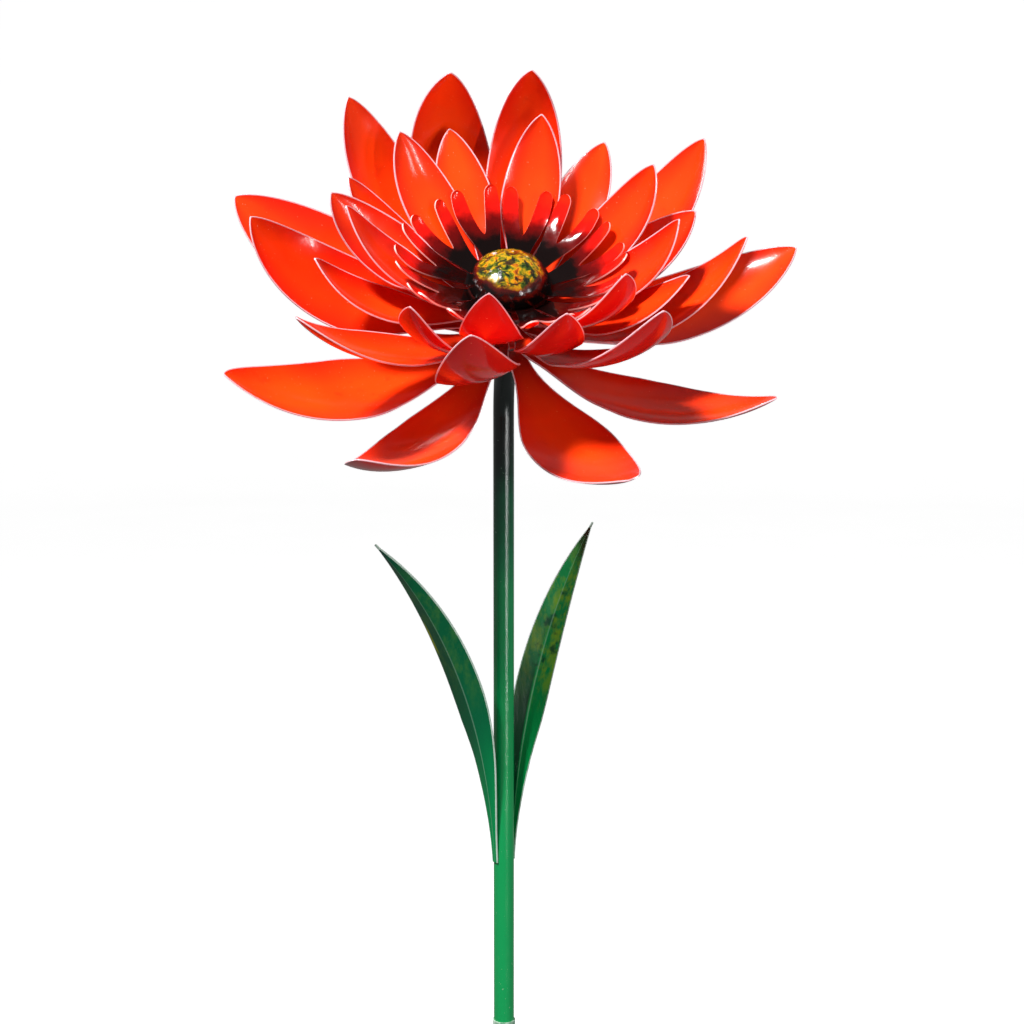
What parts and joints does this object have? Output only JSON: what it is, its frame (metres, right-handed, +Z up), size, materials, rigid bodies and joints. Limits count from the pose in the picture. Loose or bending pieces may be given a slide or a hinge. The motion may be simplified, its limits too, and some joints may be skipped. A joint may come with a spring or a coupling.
{
  "type": "wind spinner",
  "caption": "Garden wind spinner: layered metal flower that turns on a tilted spindle, carried by a two-part tube stake with leaves and a push-in ground fork.",
  "frame": {"origin": "on the stake's axis at ground level", "axes": "+Z up along the stake; the flower leans towards -Y; +X is to the right seen from the front"},
  "size_m": [0.4269, 0.3322, 1.4749],
  "materials": {
    "red_enamel": "glossy sprayed red-orange enamel on both sides of thin steel sheet, bare pale cut edges",
    "red_plate": "glossy dark red enamel",
    "dark_plate": "glossy black enamel",
    "finger_enamel": "glossy enamel, black at the root fading to red at the tips",
    "mottled_dome": "glossy mottled yellow, olive and orange enamel, black below",
    "green_enamel": "satin green enamel with a fine orange-peel grain",
    "leaf_enamel": "satin green enamel with yellow-green mottling and pale edges",
    "collar_paint": "worn grey-green paint with pale flecks",
    "zinc_steel": "zinc plated",
    "bearing_steel": "polished",
    "dark_steel": "dull, as rolled"
  },
  "bodies": {
    "stake": {"spindle": "zinc_steel", "thrust_washers": "zinc_steel", "lock_nut": "zinc_steel", "neck_plug": "green_enamel", "neck_socket": "green_enamel", "upper_tube": "green_enamel", "lower_tube": "green_enamel", "joint_collar": "collar_paint", "coupler": "dark_steel", "left_leaf": "leaf_enamel", "right_leaf": "leaf_enamel", "step_bar": "green_enamel", "centre_peg": "green_enamel", "side_prongs": "green_enamel"},
    "flower": {"outer_petal_1": "red_enamel", "outer_petal_2": "red_enamel", "outer_petal_3": "red_enamel", "outer_petal_4": "red_enamel", "outer_petal_5": "red_enamel", "outer_petal_6": "red_enamel", "outer_petal_7": "red_enamel", "outer_petal_8": "red_enamel", "second_petal_1": "red_enamel", "second_petal_2": "red_enamel", "second_petal_3": "red_enamel", "second_petal_4": "red_enamel", "second_petal_5": "red_enamel", "second_petal_6": "red_enamel", "second_petal_7": "red_enamel", "second_petal_8": "red_enamel", "third_petal_1": "red_enamel", "third_petal_2": "red_enamel", "third_petal_3": "red_enamel", "third_petal_4": "red_enamel", "third_petal_5": "red_enamel", "third_petal_6": "red_enamel", "third_petal_7": "red_enamel", "third_petal_8": "red_enamel", "inner_petal_1": "red_enamel", "inner_petal_2": "red_enamel", "inner_petal_3": "red_enamel", "inner_petal_4": "red_enamel", "inner_petal_5": "red_enamel", "inner_petal_6": "red_enamel", "inner_petal_7": "red_enamel", "inner_petal_8": "red_enamel", "outer_plate": "red_plate", "second_plate": "red_plate", "third_plate": "red_plate", "inner_plate": "red_plate", "hub_spacers": "dark_steel", "finger_plate": "dark_plate", "back_fingers": "finger_enamel", "front_fingers": "finger_enamel", "dome_boss": "mottled_dome", "hub_sleeve": "zinc_steel", "rear_bearing": "bearing_steel", "front_bearing": "bearing_steel"}
  },
  "joints": [
    {"name": "head_spin", "type": "hinge", "parent": "stake", "child": "flower", "pos_m": [0, -0.02976, 1.08058], "axis": [0, -0.5878, 0.809], "continuous": true}
  ]
}
